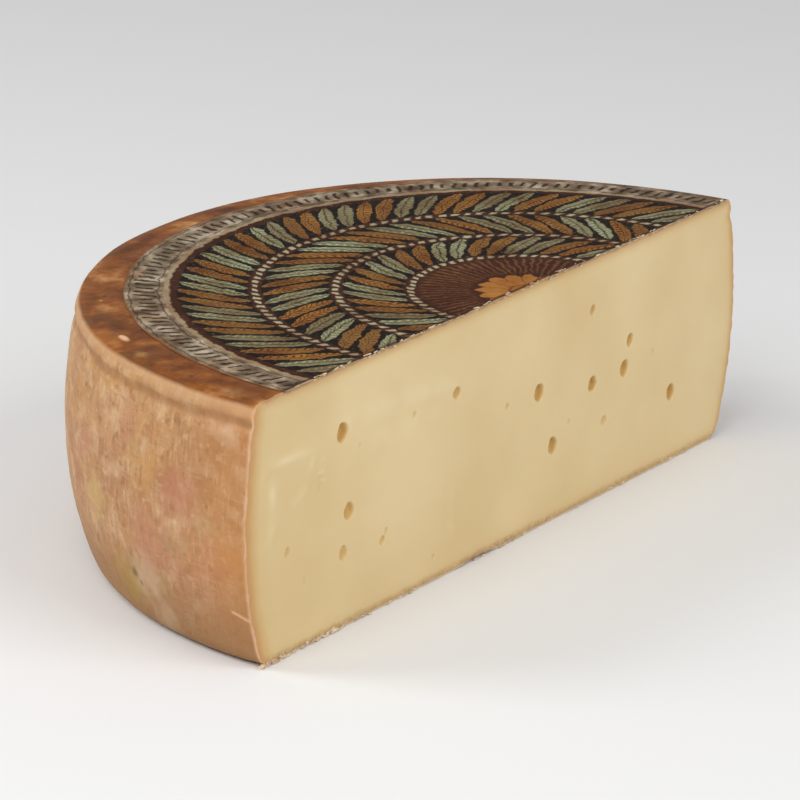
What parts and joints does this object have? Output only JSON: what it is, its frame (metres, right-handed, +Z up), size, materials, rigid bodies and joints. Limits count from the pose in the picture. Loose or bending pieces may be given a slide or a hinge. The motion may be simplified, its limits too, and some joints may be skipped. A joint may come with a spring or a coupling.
{
  "type": "half wheel of washed-rind cheese",
  "caption": "Half of a low round washed-rind cheese, cut upright through the middle, standing on its flat base, with small eyes in the cut and a paper label on top.",
  "frame": {"origin": "middle of the half wheel's box at its base, on the surface that it stands on; the wheel's axis is the vertical line at X 0, Y -0.075", "axes": "+X along the cut face, -Y out of the cut face, +Z up towards the labelled top"},
  "size_m": [0.3, 0.15, 0.0903],
  "materials": {
    "cheese": "pale yellow cut paste with a soft sheen, inside a tan to orange washed rind",
    "label": "thin printed paper stuck to the moist rind, matt to satin"
  },
  "bodies": {
    "root": {"cheese": "cheese", "label": "label"}
  },
  "joints": []
}
